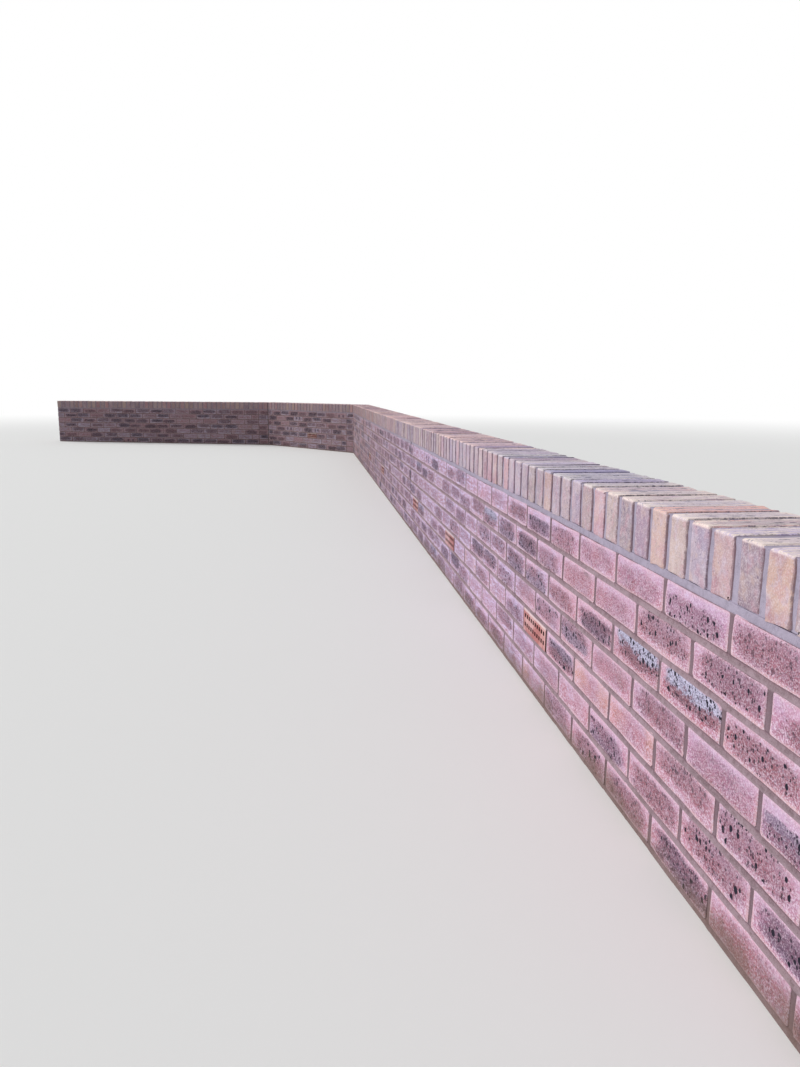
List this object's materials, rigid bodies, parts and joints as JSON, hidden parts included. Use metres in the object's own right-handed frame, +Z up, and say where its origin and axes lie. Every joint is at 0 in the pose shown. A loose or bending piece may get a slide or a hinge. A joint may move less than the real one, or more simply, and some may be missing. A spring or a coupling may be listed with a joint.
{
  "type": "brick garden wall",
  "caption": "Low cranked garden wall of stretcher-bonded pink brick with a brick-on-edge coping, movement joints and terracotta air bricks.",
  "frame": {"origin": "middle of the wall's bounding box at the ground", "axes": "+Z up; +Y along the near run, away from its free end; -X is the lawn side, towards which the wall turns"},
  "size_m": [4.781, 12.9268, 0.6425],
  "materials": {
    "facing_brick": "weathered pink-red stock brick, sandy face with blue-black centre marks",
    "mortar": "taupe cement mortar, raked back",
    "coping_mortar": "blue-grey cement mortar",
    "coping_brick": "buff and peach brick on edge with lilac-grey bands",
    "joint_filler": "closed-cell board",
    "joint_sealant": "matt sealant",
    "air_brick": "plain terracotta"
  },
  "bodies": {
    "root": {"near_front_leaf": "facing_brick", "near_collar_joint": "mortar", "near_back_leaf": "facing_brick", "near_coping_bed": "coping_mortar", "near_coping": "coping_brick", "middle_front_leaf": "facing_brick", "middle_collar_joint": "mortar", "middle_back_leaf": "facing_brick", "middle_coping_bed": "coping_mortar", "middle_coping": "coping_brick", "corner_front_leaf": "facing_brick", "corner_collar_joint": "mortar", "corner_back_leaf": "facing_brick", "corner_coping_bed": "coping_mortar", "corner_coping": "coping_brick", "left_front_leaf": "facing_brick", "left_collar_joint": "mortar", "left_back_leaf": "facing_brick", "left_coping_bed": "coping_mortar", "left_coping": "coping_brick", "joint_one_filler": "joint_filler", "joint_one_sealant": "joint_sealant", "joint_two_filler": "joint_filler", "joint_two_sealant": "joint_sealant", "bend_joint_filler": "joint_filler", "bend_joint_sealant": "joint_sealant", "near_air_brick_one": "air_brick", "near_air_brick_two": "air_brick", "near_air_brick_three": "air_brick", "middle_air_brick_one": "air_brick", "middle_air_brick_two": "air_brick", "corner_air_brick": "air_brick", "near_back_air_bricks": "air_brick", "middle_back_air_bricks": "air_brick", "corner_back_air_brick": "air_brick"}
  },
  "joints": []
}
